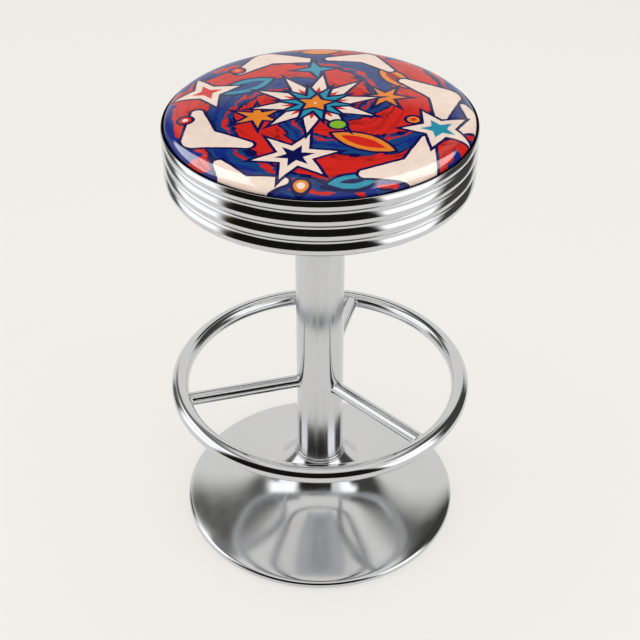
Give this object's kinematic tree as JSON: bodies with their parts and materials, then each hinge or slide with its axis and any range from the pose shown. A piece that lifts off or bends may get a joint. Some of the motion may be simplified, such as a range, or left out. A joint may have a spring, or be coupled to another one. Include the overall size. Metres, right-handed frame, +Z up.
{
  "type": "counter stool",
  "caption": "Counter stool with a round cushion in a beaded chrome band that swivels on a ball bearing, a tube column, a spoked foot ring and a trumpet base.",
  "frame": {"origin": "middle of the base on the floor, at the underside of the rubber floor ring", "axes": "+Z up along the column, -Y towards the pictured front, +X to the right of a viewer there"},
  "size_m": [0.435, 0.435, 0.6718],
  "materials": {
    "polished_chrome": "polished chrome plate",
    "satin_chrome": "softly polished chrome plate on spun steel",
    "plated_steel": "zinc plated",
    "ground_steel": "hardened and ground",
    "turned_bronze": "turned",
    "black_iron": "sand cast, black paint",
    "black_rubber": "moulded, matte",
    "printed_vinyl": "glossy printed upholstery vinyl",
    "cream_foam": "open cell foam",
    "birch_ply": "raw plywood"
  },
  "bodies": {
    "frame": {"base_bell": "satin_chrome", "base_rim": "satin_chrome", "floor_ring": "black_rubber", "ballast_plate": "black_iron", "tie_bolt": "plated_steel", "tie_washer": "plated_steel", "column_tube": "polished_chrome", "column_foot": "plated_steel", "column_collar": "polished_chrome", "foot_ring": "polished_chrome", "spoke_1": "polished_chrome", "spoke_2": "polished_chrome", "spoke_3": "polished_chrome", "swivel_hub": "plated_steel", "spindle_bush": "turned_bronze", "lower_race": "ground_steel"},
    "bearing": {"ball_cage": "turned_bronze", "ball_1": "ground_steel", "ball_2": "ground_steel", "ball_3": "ground_steel", "ball_4": "ground_steel", "ball_5": "ground_steel", "ball_6": "ground_steel", "ball_7": "ground_steel", "ball_8": "ground_steel", "ball_9": "ground_steel", "ball_10": "ground_steel", "ball_11": "ground_steel", "ball_12": "ground_steel"},
    "seat": {"upper_race": "ground_steel", "spindle": "ground_steel", "spindle_washer": "plated_steel", "spindle_nut": "plated_steel", "seat_plate": "plated_steel", "plate_bolt_1": "plated_steel", "plate_bolt_2": "plated_steel", "plate_bolt_3": "plated_steel", "plate_bolt_4": "plated_steel", "tee_nut_1": "plated_steel", "tee_nut_2": "plated_steel", "tee_nut_3": "plated_steel", "tee_nut_4": "plated_steel", "seat_board": "birch_ply", "seat_foam": "cream_foam", "seat_cover": "printed_vinyl", "seat_band": "polished_chrome", "band_screw_1": "plated_steel", "band_screw_2": "plated_steel", "band_screw_3": "plated_steel", "band_screw_4": "plated_steel", "band_screw_5": "plated_steel", "band_screw_6": "plated_steel"}
  },
  "joints": [
    {"name": "seat_swivel", "type": "hinge", "parent": "frame", "child": "seat", "pos_m": [0, 0, 0.57], "axis": [0, 0, 1], "continuous": true},
    {"name": "bearing_turn", "type": "hinge", "parent": "frame", "child": "bearing", "pos_m": [0, 0, 0.57], "axis": [0, 0, 1], "continuous": true}
  ],
  "couplings": [
    {"joint": "bearing_turn", "follows": "seat_swivel", "ratio": 0.5}
  ]
}
